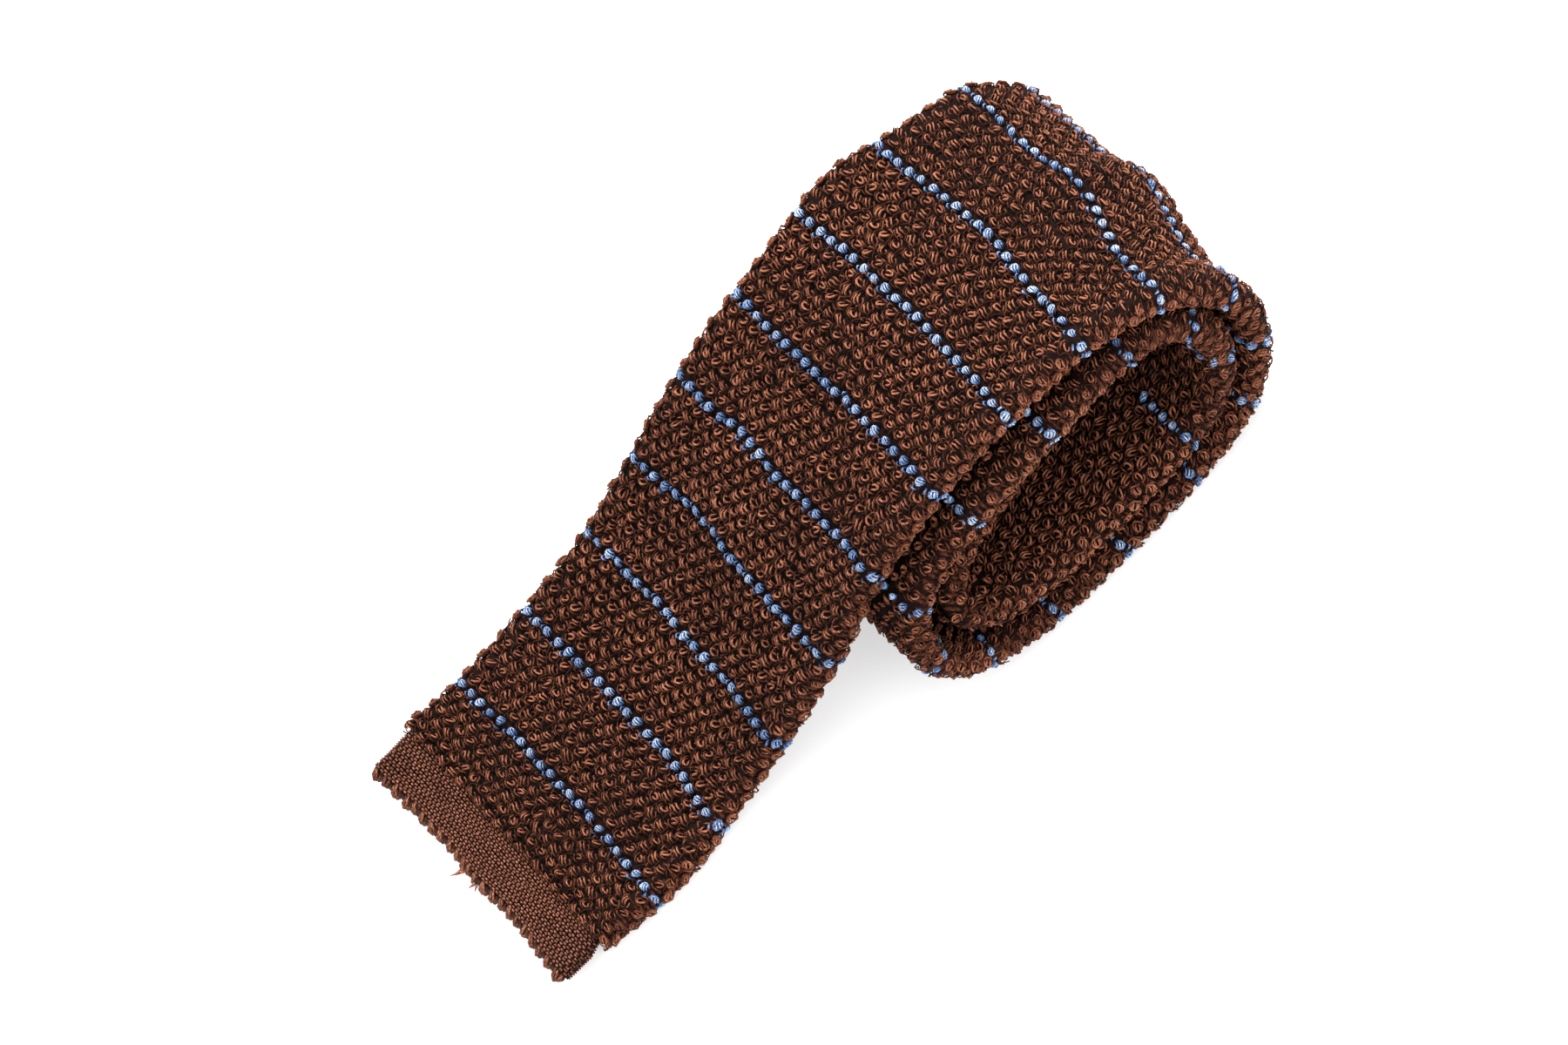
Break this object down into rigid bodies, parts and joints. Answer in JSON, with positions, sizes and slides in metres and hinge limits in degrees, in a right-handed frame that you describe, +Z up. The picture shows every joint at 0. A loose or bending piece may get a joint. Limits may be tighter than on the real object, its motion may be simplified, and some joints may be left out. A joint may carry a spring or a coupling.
{
  "type": "knit tie",
  "caption": "Knitted tie with narrow stripes, loosely rolled up, its wide square end lying flat in front of the roll.",
  "frame": {"origin": "middle of the footprint, on the surface that the tie lies on", "axes": "+X from the blade's free end towards the roll, +Y across the blade away from the viewer of the picture, +Z up"},
  "size_m": [0.153, 0.0778, 0.0399],
  "materials": {
    "coarse_knit": "matt twisted yarn with a soft lustre, coarse open knit, brown with a thin pale blue stripe every 15 mm",
    "fine_knit": "matt yarn, finer flat knit, a little redder and lighter brown",
    "edge_yarn": "matt yarn, one row of loose cast-off loops"
  },
  "bodies": {
    "root": {"knitted_blade": "coarse_knit", "hem_band": "fine_knit", "cast_off_edge": "edge_yarn"}
  },
  "joints": []
}
